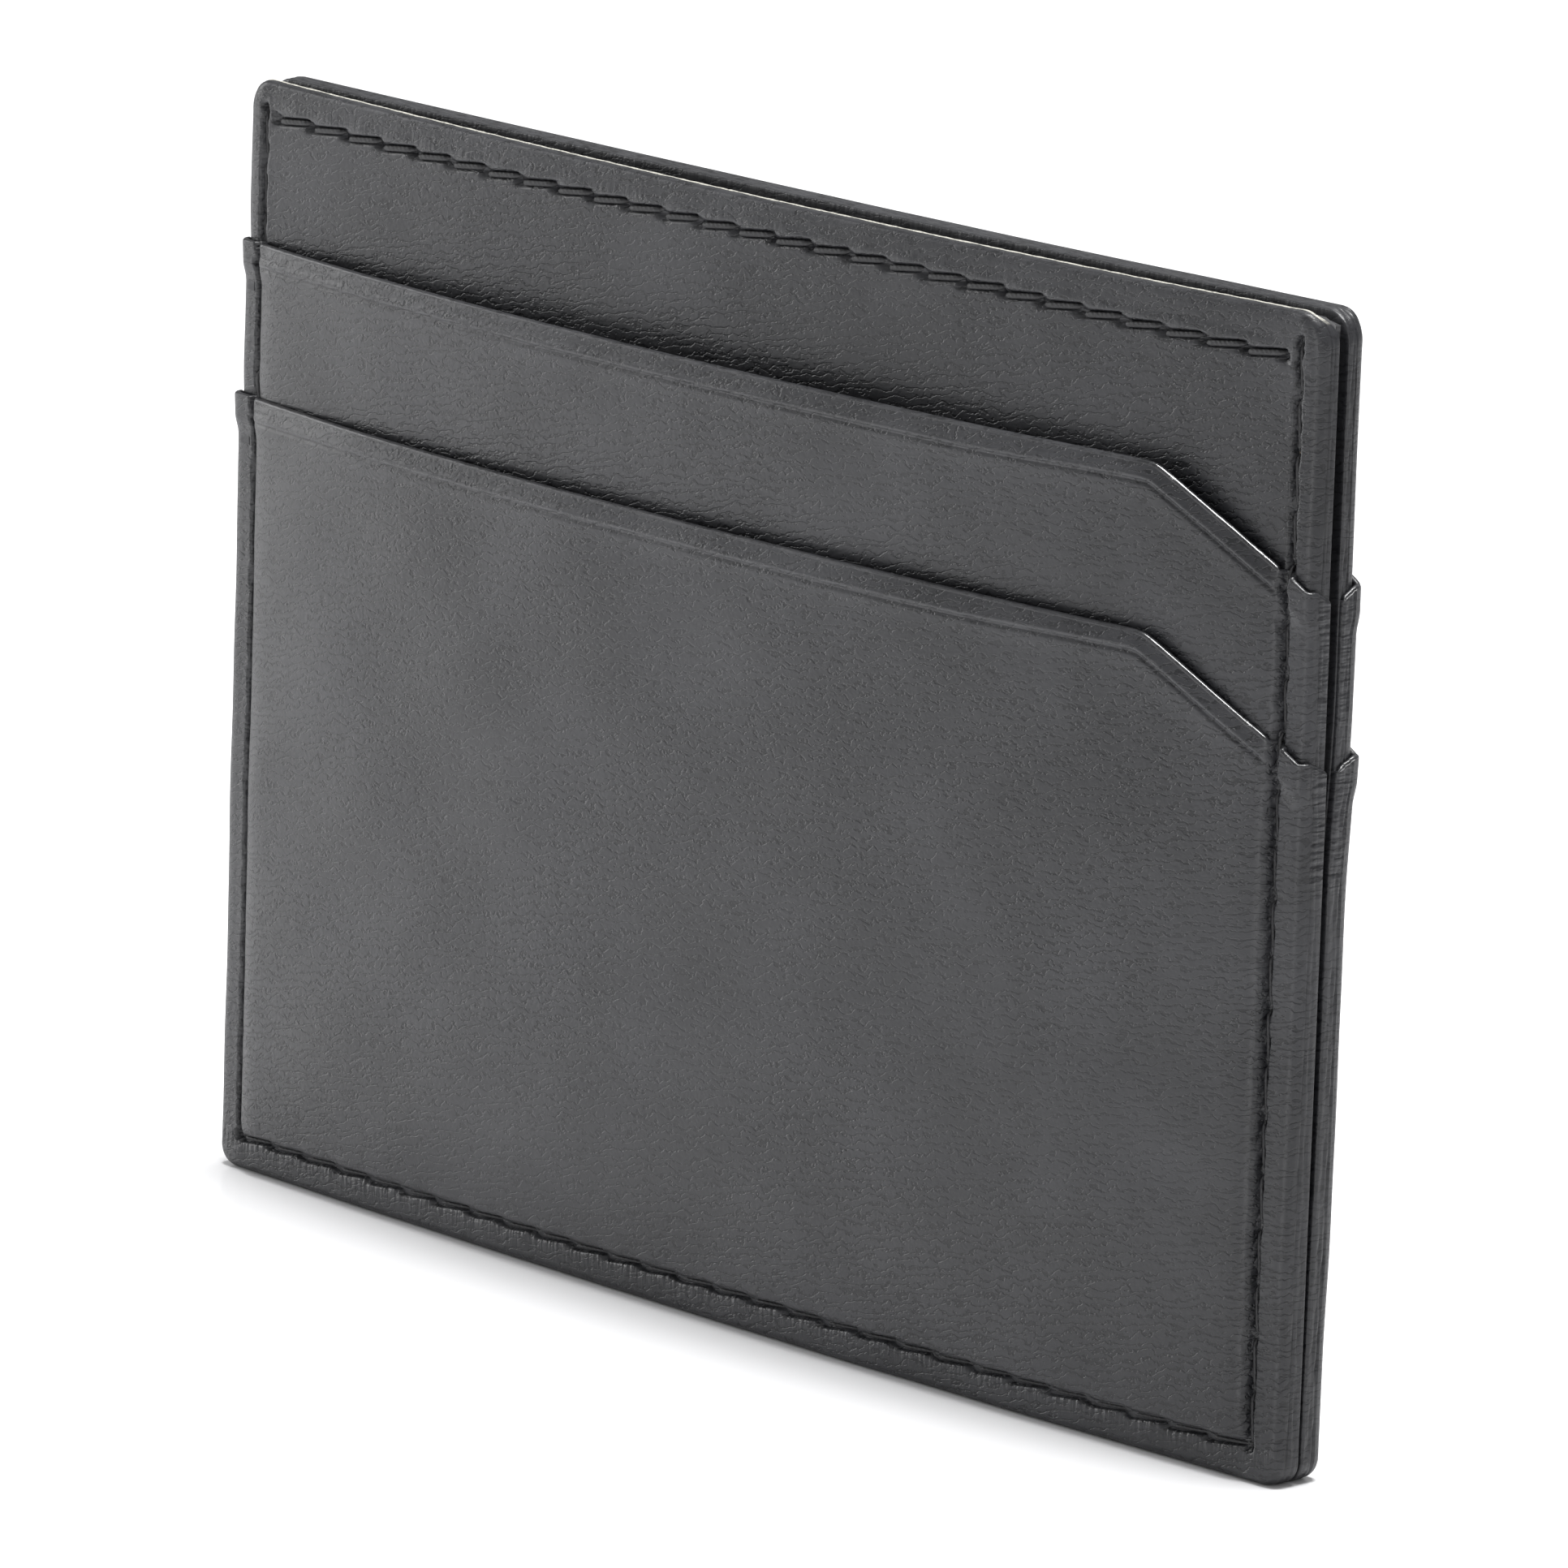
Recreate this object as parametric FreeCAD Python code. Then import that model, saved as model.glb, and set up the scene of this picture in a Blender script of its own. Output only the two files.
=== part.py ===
import FreeCAD, Part
import math
import os

# Flat card holder in thin calf leather. Two halves with turned edges are sewn together down the
# sides and along the bottom, and stay open at the top as a middle pocket. Each half carries two
# card pockets, one in front of the other, whose mouths are cut away at the +X end.
# X runs across the width, Z up, and Y through the thickness with the front at -Y. The origin is
# the middle of the bottom. Millimetres.

# Outline of one half, inside the pocket leather that wraps round its edge
panel_width = 100.0
panel_bottom = 0.3
panel_top = 75.0
corner_radius = 3.0

# Sheet thicknesses
face_leather = 0.6
turned_leather = 0.5
board = 0.45
lining_cloth = 0.2
pocket_leather = 0.5
pocket_cloth = 0.2
upper_edge_leather = 0.25     # pocket leather is pared thin where it is sewn down and wraps round
lower_edge_leather = 0.3
side_wrap = 0.3

# Room in each card pocket: a card is 85.6 wide, 54 high and 0.76 thick
card_room = 0.9
pocket_half_width = 44.2

# Turned edges
side_flap = 6.0
bottom_flap = 5.7
hem_depth = 8.0
mouth_flap = 7.0
wrap_end = 0.3                # the wraps stop short of the middle plane, which leaves the groove

# Pockets
upper_mouth = 63.85
lower_mouth = 53.05
cut_start = 37.8              # where the mouth line turns down, from the middle
cut_slope = math.tan(math.radians(28.0))
edge_strip = 47.2             # inner edge of the strip that is sewn flat
bottom_strip = 3.0
rise_run = 3.0                # run over which the leather climbs from the strip to the field
upper_leather_end = 38.0      # below this the upper pocket is cloth only
upper_pocket_floor = 15.0
cloth_foot = 4.0

# Stitching
thread_radius = 0.25
stitch_length = 3.0
seam_half_width = 48.2
seam_bottom = 2.4
seam_top = 73.2
side_stitches = 20
bottom_stitches = 28
hem_height = 72.2
hem_half_width = 47.0
hem_stitches = 27
hem_inside_stitches = 25      # the end stitches lie hidden under the turned sides
floor_row_height = 13.0
floor_row_half_width = 43.0
floor_row_stitches = 25

# Depths, counted outwards from the middle plane between the halves
flap_out = turned_leather
lining_out = flap_out + lining_cloth
board_out = lining_out + board
face_out = board_out + face_leather
upper_edge_out = face_out + upper_edge_leather
lower_edge_out = upper_edge_out + lower_edge_leather
upper_cloth_in = face_out + card_room
upper_leather_in = upper_cloth_in + pocket_cloth
upper_leather_out = upper_leather_in + pocket_leather
lower_cloth_in = upper_leather_out + card_room
lower_leather_in = lower_cloth_in + pocket_cloth
lower_leather_out = lower_leather_in + pocket_leather

half_width = panel_width / 2.0
upper_half_width = half_width + side_wrap
lower_half_width = upper_half_width + side_wrap
wall = turned_leather


# A closed outline in the XZ plane, from its corner points
def outline(points):
    corners = [FreeCAD.Vector(x, 0.0, z) for x, z in points]
    return Part.Face(Part.makePolygon(corners + corners[:1]))


# An upright rectangle, its four corners rounded
def rounded_outline(half, low, high, radius):
    inner = half - radius
    bend = radius * math.sqrt(0.5)
    point = lambda x, z: FreeCAD.Vector(x, 0.0, z)
    edges = []
    for side_x, side_z, from_side in ((1, 1, True), (-1, 1, False), (-1, -1, True), (1, -1, False)):
        centre_z = high - radius if side_z > 0 else low + radius
        side_point = point(side_x * half, centre_z)
        end_point = point(side_x * inner, centre_z + side_z * radius)
        middle = point(side_x * (inner + bend), centre_z + side_z * bend)
        first, last = (side_point, end_point) if from_side else (end_point, side_point)
        if edges:
            edges.append(Part.makeLine(edges[-1].Vertexes[-1].Point, first))
        edges.append(Part.Arc(first, middle, last).toShape())
    edges.append(Part.makeLine(edges[-1].Vertexes[-1].Point, edges[0].Vertexes[0].Point))
    return Part.Face(Part.Wire(Part.__sortEdges__(edges)))


# A flat sheet of the front half: an outline between two depths
def sheet(face, depth_in, depth_out):
    placed = face.copy()
    placed.translate(FreeCAD.Vector(0.0, -depth_in, 0.0))
    return placed.extrude(FreeCAD.Vector(0.0, depth_in - depth_out, 0.0))


# A rectangular block of the front half
def block(x_low, x_high, z_low, z_high, depth_in, depth_out):
    corners = [(x_low, z_low), (x_high, z_low), (x_high, z_high), (x_low, z_high)]
    return sheet(outline(corners), depth_in, depth_out)


# The same solid at +X and -X
def both_sides(solid):
    return [solid, solid.mirror(FreeCAD.Vector(0, 0, 0), FreeCAD.Vector(1, 0, 0))]


# Height of a pocket's mouth line at a place across the width
def mouth_height(mouth, x):
    return mouth - max(0.0, x - cut_start) * cut_slope


# The turned edge round one corner: a quarter of a ring
def corner_turn(side_x, low, high, half, radius, thickness, depth_in, depth_out):
    ring = sheet(rounded_outline(half, low, high, radius), depth_in, depth_out)
    hollow = rounded_outline(half - thickness, low + thickness, high - thickness, radius - thickness)
    ring = ring.cut(sheet(hollow, depth_in, depth_out))
    x_ends = sorted((side_x * (half - radius), side_x * half))
    quarter = block(x_ends[0], x_ends[1], low, low + radius, depth_in, depth_out)
    return ring.common(quarter).Solids[0]


# Outer leather of a half: its face, the edges turned over the board, and the flaps inside
def panel():
    solids = [sheet(rounded_outline(half_width, panel_bottom, panel_top, corner_radius),
                    board_out, face_out)]
    straight = half_width - corner_radius
    side = block(half_width - wall, half_width, panel_bottom + corner_radius,
                 panel_top - corner_radius, 0.0, board_out)
    solids += both_sides(side)
    solids.append(block(-straight, straight, panel_bottom, panel_bottom + wall, 0.0, board_out))
    solids.append(block(-straight, straight, panel_top - wall, panel_top, flap_out, board_out))
    for side_x in (-1, 1):
        solids.append(corner_turn(side_x, panel_bottom, panel_top, half_width, corner_radius,
                                  wall, 0.0, board_out))
    middle = (panel_bottom + panel_top) / 2.0
    for solid in list(solids[-2:]):
        solids.append(solid.mirror(FreeCAD.Vector(0, 0, middle), FreeCAD.Vector(0, 0, 1)))
    inside = rounded_outline(half_width - wall, panel_bottom + wall, panel_top - wall,
                             corner_radius - wall)
    inner_leather = sheet(inside, 0.0, flap_out)
    flap_start = half_width - wall - side_flap
    reach = block(flap_start, half_width, 0.0, panel_top, 0.0, flap_out)
    solids += both_sides(inner_leather.common(reach).Solids[0])
    solids.append(block(-flap_start, flap_start, panel_bottom + wall,
                        panel_bottom + wall + bottom_flap, 0.0, flap_out))
    hem = sheet(inside, lining_out, board_out)
    band = block(-half_width, half_width, panel_top - hem_depth, panel_top, lining_out, board_out)
    solids.append(hem.common(band).Solids[0])
    return solids


# Board that keeps a half flat: it stops below the hem, whose turned leather takes its place
def stiffener():
    inside = rounded_outline(half_width - wall, panel_bottom + wall, panel_top - wall,
                             corner_radius - wall)
    below_hem = block(-half_width, half_width, 0.0, panel_top - hem_depth, lining_out, board_out)
    return sheet(inside, lining_out, board_out).common(below_hem).Solids


# Cloth lining of the middle pocket
def lining():
    inside = rounded_outline(half_width - wall, panel_bottom + wall, panel_top - wall,
                             corner_radius - wall)
    return [sheet(inside, flap_out, lining_out)]


# Outline of the part of a pocket between two places across the width, up to its mouth line
def pocket_outline(mouth, low, left, right, drop=0.0):
    points = [(left, low), (right, low), (right, mouth_height(mouth, right) - drop)]
    if left < cut_start < right:
        points.append((cut_start, mouth - drop))
    points.append((left, mouth_height(mouth, left) - drop))
    return outline(points)


# Leather climbing from the sewn strip to the raised field, at +X and -X. Its lower end is
# mitred where the bottom of the pocket climbs as well.
def side_rises(mouth, low, edge_in, edge_out, field_in, field_out, mitred):
    solids = []
    top = mouth + 1.0
    inner = edge_strip - rise_run
    section = [(edge_strip, edge_in), (edge_strip, edge_out), (inner, field_out), (inner, field_in)]
    for side_x in (-1, 1):
        corners = [FreeCAD.Vector(side_x * x, -depth, low) for x, depth in section]
        face = Part.Face(Part.makePolygon(corners + corners[:1]))
        slope = face.extrude(FreeCAD.Vector(0.0, 0.0, top - low))
        inner_low = low + rise_run if mitred else low
        points = [(side_x * edge_strip, low), (side_x * inner, inner_low),
                  (side_x * inner, mouth_height(mouth, side_x * inner)),
                  (side_x * edge_strip, mouth_height(mouth, side_x * edge_strip))]
        solids.append(slope.common(sheet(outline(points), edge_in, field_out)).Solids[0])
    return solids


# Leather climbing from the sewn strip along the bottom
def bottom_rise(edge_in, edge_out, field_in, field_out):
    inner = edge_strip - rise_run
    high = bottom_strip + rise_run
    section = [(bottom_strip, edge_in), (bottom_strip, edge_out), (high, field_out), (high, field_in)]
    corners = [FreeCAD.Vector(-edge_strip, -depth, z) for z, depth in section]
    face = Part.Face(Part.makePolygon(corners + corners[:1]))
    slope = face.extrude(FreeCAD.Vector(2.0 * edge_strip, 0.0, 0.0))
    points = [(-edge_strip, bottom_strip), (edge_strip, bottom_strip), (inner, high), (-inner, high)]
    return slope.common(sheet(outline(points), edge_in, field_out)).Solids


# Leather turned in behind the mouth, in two straight lengths that meet where the line turns down
def mouth_turning(mouth, depth_in, depth_out):
    angle = math.atan(cut_slope)
    meet = (cut_start - mouth_flap * math.tan(angle / 2.0), mouth - mouth_flap)
    end = pocket_half_width
    end_high = mouth_height(mouth, end)
    end_low = end_high - mouth_flap / math.cos(angle)
    straight = [(-end, mouth - mouth_flap), meet, (cut_start, mouth), (-end, mouth)]
    sloping = [meet, (end, end_low), (end, end_high), (cut_start, mouth)]
    return [sheet(outline(points), depth_in, depth_out) for points in (straight, sloping)]


# Cloth behind a pocket's leather, from below the turned mouth down to a given height
def pocket_cloth_sheet(mouth, low, depth_in, depth_out):
    angle = math.atan(cut_slope)
    meet = (cut_start - mouth_flap * math.tan(angle / 2.0), mouth - mouth_flap)
    end = pocket_half_width
    end_low = mouth_height(mouth, end) - mouth_flap / math.cos(angle)
    points = [(-end, low), (end, low), (end, end_low), meet, (-end, mouth - mouth_flap)]
    return sheet(outline(points), depth_in, depth_out)


# Pared strips that are sewn down along both sides, and their wraps round the side edge
def sewn_sides(mouth, outer, low, radius, depth_in, depth_out, wrap_depth):
    solids = []
    whole = sheet(rounded_outline(outer, low, panel_top + 20.0, radius), depth_in, depth_out)
    for side_x in (-1, 1):
        ends = (side_x * edge_strip, side_x * outer)
        tops = [mouth_height(mouth, x) for x in ends]
        corners = [(ends[0], low), (ends[1], low), (ends[1], tops[1]), (ends[0], tops[0])]
        solids.append(whole.common(sheet(outline(corners), depth_in, depth_out)).Solids[0])
        wrap_x = sorted((side_x * (outer - side_wrap), side_x * outer))
        solids.append(block(wrap_x[0], wrap_x[1], low + radius, tops[1], wrap_end, wrap_depth))
    return solids


# Back pocket of the pair, next to the panel
def upper_pocket():
    inner = pocket_half_width
    solids = sewn_sides(upper_mouth, upper_half_width, panel_bottom, corner_radius + side_wrap,
                        face_out, upper_edge_out, face_out)
    solids += side_rises(upper_mouth, upper_leather_end, face_out, upper_edge_out,
                         upper_leather_in, upper_leather_out, False)
    field = pocket_outline(upper_mouth, upper_leather_end, -inner, inner)
    solids.append(sheet(field, upper_leather_in, upper_leather_out))
    solids += mouth_turning(upper_mouth, upper_cloth_in, upper_leather_in)
    return solids


# Its cloth goes on down behind the lower pocket, and turns in to the panel as the pocket's floor
def upper_pocket_lining():
    inner = pocket_half_width
    floor = upper_pocket_floor
    foot_low = floor - cloth_foot
    return [pocket_cloth_sheet(upper_mouth, floor, upper_cloth_in, upper_leather_in),
            block(-inner, inner, floor, floor + pocket_cloth, face_out, upper_cloth_in),
            block(-inner, inner, foot_low, floor, face_out, face_out + pocket_cloth)]


# Front pocket of the pair, sewn down on three sides and wrapped round the bottom as well
def lower_pocket():
    inner = pocket_half_width
    radius = corner_radius + side_wrap
    solids = sewn_sides(lower_mouth, lower_half_width, 0.0, radius, upper_edge_out,
                        lower_edge_out, upper_edge_out)
    solids.append(block(-edge_strip, edge_strip, 0.0, bottom_strip, face_out, lower_edge_out))
    straight = lower_half_width - radius
    solids.append(block(-straight, straight, 0.0, side_wrap, wrap_end, face_out))
    for side_x in (-1, 1):
        solids.append(corner_turn(side_x, 0.0, panel_top, lower_half_width, radius, side_wrap,
                                  wrap_end, face_out))
    solids += side_rises(lower_mouth, bottom_strip, upper_edge_out, lower_edge_out,
                         lower_leather_in, lower_leather_out, True)
    solids += bottom_rise(upper_edge_out, lower_edge_out, lower_leather_in, lower_leather_out)
    field = pocket_outline(lower_mouth, bottom_strip + rise_run, -inner, inner)
    solids.append(sheet(field, lower_leather_in, lower_leather_out))
    solids += mouth_turning(lower_mouth, lower_cloth_in, lower_leather_in)
    return solids


def lower_pocket_lining():
    low = bottom_strip + rise_run
    return [pocket_cloth_sheet(lower_mouth, low, lower_cloth_in, lower_leather_in)]


# One stitch: a half-round length of thread lying on the leather
def stitch(x, z, depth, upright, outward=1.0):
    start = FreeCAD.Vector(x, -depth, z)
    along = FreeCAD.Vector(0, 0, 1) if upright else FreeCAD.Vector(1, 0, 0)
    start = start - along * (stitch_length / 2.0)
    rod = Part.makeCylinder(thread_radius, stitch_length, start, along)
    size = 2.0 * stitch_length
    corner = FreeCAD.Vector(x - stitch_length, -depth - (size if outward > 0 else 0.0), z - stitch_length)
    return rod.common(Part.makeBox(size, size, size, corner)).Solids[0]


# Outermost layer that the side seam runs over at a given height
def side_seam_depth(x, z):
    reach = stitch_length / 2.0
    if z - reach < mouth_height(lower_mouth, x):
        return lower_edge_out
    if z - reach < mouth_height(upper_mouth, x):
        return upper_edge_out
    return face_out


# The seam that joins the halves: down one side, along the bottom and up the other
def joining_seam():
    solids = []
    side_pitch = (seam_top - seam_bottom) / side_stitches
    for side_x in (-1, 1):
        x = side_x * seam_half_width
        for number in range(side_stitches):
            z = seam_bottom + side_pitch * (number + 0.5)
            solids.append(stitch(x, z, side_seam_depth(x, z), True))
    bottom_pitch = 2.0 * seam_half_width / bottom_stitches
    for number in range(bottom_stitches):
        x = -seam_half_width + bottom_pitch * (number + 0.5)
        solids.append(stitch(x, seam_bottom, lower_edge_out, False))
    return solids


# A straight row of stitches across the width
def row_across(count, half, height, depth, outward=1.0):
    pitch = 2.0 * half / count
    return [stitch(-half + pitch * (number + 0.5), height, depth, False, outward)
            for number in range(count)]


def write_node(name, solids):
    shape = solids[0] if len(solids) == 1 else Part.makeCompound(solids)
    shape.exportStep(os.path.join("parts", name + ".step"))
    print(name, len(solids), "solids", round(sum(solid.Volume for solid in solids), 2), "mm3")


os.makedirs("parts", exist_ok=True)

half_pieces = {
    "panel": panel(),
    "stiffener": stiffener(),
    "lining": lining(),
    "upper_pocket": upper_pocket(),
    "upper_pocket_lining": upper_pocket_lining(),
    "lower_pocket": lower_pocket(),
    "lower_pocket_lining": lower_pocket_lining(),
    "hem_thread": row_across(hem_stitches, hem_half_width, hem_height, face_out),
    "hem_bobbin_thread": row_across(hem_inside_stitches,
                                    hem_half_width * hem_inside_stitches / hem_stitches,
                                    hem_height, flap_out, -1.0),
    "pocket_floor_thread": row_across(floor_row_stitches, floor_row_half_width, floor_row_height,
                                      face_out + pocket_cloth),
}
for piece_name, piece_solids in half_pieces.items():
    write_node("front_" + piece_name, piece_solids)
    mirrored = [solid.mirror(FreeCAD.Vector(0, 0, 0), FreeCAD.Vector(0, 1, 0)) for solid in piece_solids]
    write_node("back_" + piece_name, mirrored)

needle_side = joining_seam()
write_node("seam_needle_thread", needle_side)
write_node("seam_bobbin_thread",
           [solid.mirror(FreeCAD.Vector(0, 0, 0), FreeCAD.Vector(0, 1, 0)) for solid in needle_side])
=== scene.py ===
import bpy
import math
import numpy as np
from mathutils import Matrix, Vector


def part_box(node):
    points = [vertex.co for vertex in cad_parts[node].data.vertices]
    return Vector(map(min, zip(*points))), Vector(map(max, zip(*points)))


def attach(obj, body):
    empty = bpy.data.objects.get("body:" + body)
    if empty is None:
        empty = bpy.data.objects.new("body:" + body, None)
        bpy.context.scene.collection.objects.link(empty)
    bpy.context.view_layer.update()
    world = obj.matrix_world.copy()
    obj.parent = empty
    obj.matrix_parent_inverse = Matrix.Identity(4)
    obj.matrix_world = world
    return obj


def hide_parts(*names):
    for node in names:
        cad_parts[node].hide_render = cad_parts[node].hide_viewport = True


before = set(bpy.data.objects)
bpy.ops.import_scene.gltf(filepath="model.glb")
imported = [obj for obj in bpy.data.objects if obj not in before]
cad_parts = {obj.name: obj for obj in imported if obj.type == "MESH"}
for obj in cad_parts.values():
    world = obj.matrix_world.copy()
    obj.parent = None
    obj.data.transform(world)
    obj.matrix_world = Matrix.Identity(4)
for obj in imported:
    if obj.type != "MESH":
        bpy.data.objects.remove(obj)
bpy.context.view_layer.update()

mm = 0.001
print("card holder: frame loaded,", len(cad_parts), "nodes")


# ---- sizes, all in millimetres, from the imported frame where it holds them

def outerSize(node):
    low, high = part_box(node)
    return {"half": high.x / mm, "low": low.z / mm, "high": high.z / mm, "out": -low.y / mm}


panelSize = outerSize("front_panel")
upperSize = outerSize("front_upper_pocket")
lowerSize = outerSize("front_lower_pocket")
seamSize = outerSize("seam_needle_thread")
hemSize = outerSize("front_hem_thread")

holder = {
    "cutStart": 37.8,          # where a mouth line turns down
    "cutAngle": 28.0,
    "cutSoftness": 0.5,
    "cornerRadius": 2.1,
    "pocketCorner": {"upper": 1.7, "lower": 1.5},
    "upperEdge": 0.25,         # thickness that each pocket adds at the edge
    "lowerEdge": 0.3,
    "lowerMouthLean": 0.35,    # the lower mouth stands this much higher at the far left
    "frontBow": 1.15,          # how far each half bows at mid width
    "backBowLow": -1.15,
    "backBowHigh": 0.5,
    "backGape": 0.55,          # the back half stands off by this at the upper end of the cut side
    "backClose": 0.3,          # and closes up by this near the bottom
    "leftFlare": 0.62,         # the uncut side spreads by this towards the top
    "topDip": 0.3,             # the top edge sinks this much at mid width
}
seam = {
    "half": seamSize["half"] - 0.25,
    "low": seamSize["low"] + 0.25,
    "high": seamSize["high"] + 0.27,
    "sideCount": 20,
    "bottomCount": 28,
    "hemHeight": (hemSize["low"] + hemSize["high"]) / 2 + 0.45,
    "hemFall": 0.65,           # the hem row runs lower towards the cut corners
    "hemHalf": 47.0,
    "hemCount": 27,
    "bed": 0.24,               # how deep the thread lies
    "crack": 0.26,             # the sharp line where the leather closes over the thread
    "hole": 0.6,
    "slant": 7.0,              # each stitch leans by this against its row, in degrees
}
cutSlope = math.tan(math.radians(holder["cutAngle"]))
cutCosine = math.cos(math.radians(holder["cutAngle"]))


def smooth(t):
    t = np.clip(t, 0.0, 1.0)
    return t * t * (3 - 2 * t)


def leftFlare(x, z):
    grows = 0.15 + 0.45 * smooth((z - 50) / 6) + 0.4 * smooth((z - 61) / 6)
    return -holder["leftFlare"] * grows * smooth((-x - 25) / 25)


def topDip(x, z):
    across = 1 - np.clip(np.abs(x) / panelSize["half"], 0, 1) ** 2
    return holder["topDip"] * across * smooth((z - 52) / 23)


def halfBow(x, z, half):
    across = 1 - np.clip(np.abs(x) / panelSize["half"], 0, 1) ** 2
    if half == "front":
        return holder["frontBow"] * across
    rise = smooth(z / panelSize["high"])
    gape = smooth((x - 15) / 33) * (holder["backGape"] * smooth((z - 38) / 12)
                                    - holder["backClose"] * (1 - smooth(z / 28)))
    return across * (holder["backBowLow"] + (holder["backBowHigh"] - holder["backBowLow"]) * rise) + gape


def mouthLine(size, x):
    x = np.clip(x, -panelSize["half"], panelSize["half"])
    past = x - holder["cutStart"]
    soft = holder["cutSoftness"]
    drop = 0.5 * (past + np.sqrt(past ** 2 + soft ** 2)) * cutSlope
    return size["high"] - drop + size.get("lean", 0.0) * (0.5 - x / panelSize["half"] / 2) ** 2


def mouthInset(size, x, z):
    below = mouthLine(size, x) - z
    slope = smooth((x - holder["cutStart"]) / 1.5 + 0.5)
    return below * (1 - slope * (1 - cutCosine))


def softWaves(x, z, seed, wavelengths=(9.0, 14.0, 23.0), amount=1.0):
    random = np.random.RandomState(seed)
    total = 0.0
    for wavelength in wavelengths:
        for turn in range(2):
            angle = random.uniform(0, math.pi)
            phase = random.uniform(0, 2 * math.pi)
            along = x * math.cos(angle) + z * math.sin(angle)
            total = total + np.sin(along * 2 * math.pi / wavelength + phase)
    return amount * total / (2 * len(wavelengths))


# ---- leather pressed in along the stitching

def hemLine(x):
    return seam["hemHeight"] - seam["hemFall"] * smooth((x - 8) / 42)


def stitchBed(across, along, count, length, upperCrack, lowerCrack, slant, width=0.31, deep=None):
    pitch = length / count
    place = ((along / pitch) % 1.0 - 0.5) * pitch
    lean = across - place * math.tan(math.radians(slant))
    inside = smooth(along / 0.5 + 1) * smooth((length - along) / 0.5 + 1)
    bed = (seam["bed"] if deep is None else deep) * np.exp(-(lean / width) ** 4)
    cracks = upperCrack * np.exp(-((lean - width * 0.85) / 0.1) ** 2) \
        + lowerCrack * np.exp(-((lean + width * 0.9) / 0.11) ** 2)
    fromHole = pitch / 2 - np.abs(place)
    hole = seam["hole"] * np.exp(-(fromHole / 0.27) ** 2 - (across / (width + 0.08)) ** 4)
    return -np.maximum(bed + seam["crack"] * cracks, hole) * inside


def stitchPuff(across, along, count, length, reach):
    wave = 0.5 + 0.5 * np.cos(2 * math.pi * along * count / length)
    inside = smooth(along / 2) * smooth((length - along) / 2)
    return inside * (0.55 + 0.45 * (1 - wave)) * np.exp(-((across - 0.62) / reach) ** 2)


def seamDents(x, z, kind, side):
    long = seam["high"] - seam["low"]
    wide = 2 * seam["half"]
    total = 0.0
    for edge in (-1, 1):
        across = -side * (x - edge * seam["half"])
        fieldIsPlus = edge * side > 0
        plus, minus = (1.1, 0.1) if fieldIsPlus else (0.1, 1.1)
        jog = 0.07 * np.sin(z * 2.7) + 0.05 * np.sin(z * 5.3 + edge)
        total = total + stitchBed(across + jog, z - seam["low"], seam["sideCount"], long, plus, minus, 2.5,
                                  0.23, 0.5)
    if kind == "panel":
        hemLength = 2 * seam["hemHalf"]
        run = side * x + seam["hemHalf"]
        above = z - hemLine(x)
        total = total + stitchBed(above, run, seam["hemCount"], hemLength, 1.0, 0.45, seam["slant"], 0.24)
        total = total + 0.09 * stitchPuff(above, run, seam["hemCount"], hemLength, 0.42)
    if kind == "lower":
        run = side * x + seam["half"]
        above = z - seam["low"]
        bottom = stitchBed(above, run, seam["bottomCount"], wide, 1.2, 0.1, 7.0, 0.2, 0.42)
        total = np.minimum(total, bottom)
        total = total + 0.12 * stitchPuff(above, run, seam["bottomCount"], wide, 0.5) \
            + 0.04 * stitchPuff(-above, run, seam["bottomCount"], wide, 0.5)
    return total


def pleatMarks(x, z, kind):
    upright = 0.0 * x
    if kind == "panel":
        upright = np.exp(-((z - hemLine(x) - 0.5) / 0.8) ** 2) * 0.3
    if kind == "lower":
        upright = np.exp(-((z - seam["low"] + 0.3) / 0.75) ** 2)
    across = np.exp(-((np.abs(x) - seam["half"] - 0.25) / 0.7) ** 2) * 0.8
    return upright, across


# ---- how far each layer stands out from the middle plane, before the half bows

upper = {"shoulder": 0.5, "crown": 1.85, "steep": 0.45, "roundness": 2.6,
         "edge": panelSize["out"] + holder["upperEdge"]}
lower = {"shoulder": 0.62, "crown": 2.0, "steep": 0.45, "roundness": 2.8,
         "edge": panelSize["out"] + holder["upperEdge"] + holder["lowerEdge"]}
lowerSize["lean"] = holder["lowerMouthLean"]
crease = {"inset": 1.4, "atCut": 1.1, "width": 0.14, "depth": 0.11, "ridge": 0.12, "rollBack": 0.17,
          "bead": 0.26, "beadHeight": 2.3}


def panelDepth(x, z, side):
    band = np.exp(-((z - 73.8) / 0.8) ** 2) * 0.04
    return panelSize["out"] + seamDents(x, z, "panel", side) + band + softWaves(x, z, 5, amount=0.05)


def mouthShape(size, x, z):
    inset = mouthInset(size, x, z)
    low = crease["inset"] + (crease["atCut"] - crease["inset"]) * smooth((x - 20) / 18)
    groove = -crease["depth"] * np.exp(-((inset - low) / crease["width"]) ** 2)
    ridge = crease["ridge"] * np.exp(-((inset - low + 0.36) / 0.27) ** 2) \
        - crease["rollBack"] * np.exp(-np.clip(inset, 0, None) / 0.4)
    onField = smooth((seam["half"] + 0.2 - np.abs(x)) / 1.6)
    bead = crease["bead"] * (1 - smooth((inset - crease["beadHeight"] * 0.55) / (crease["beadHeight"] * 0.6)))
    return (groove + ridge) * onField + bead * (1 - 0.75 * onField)


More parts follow.
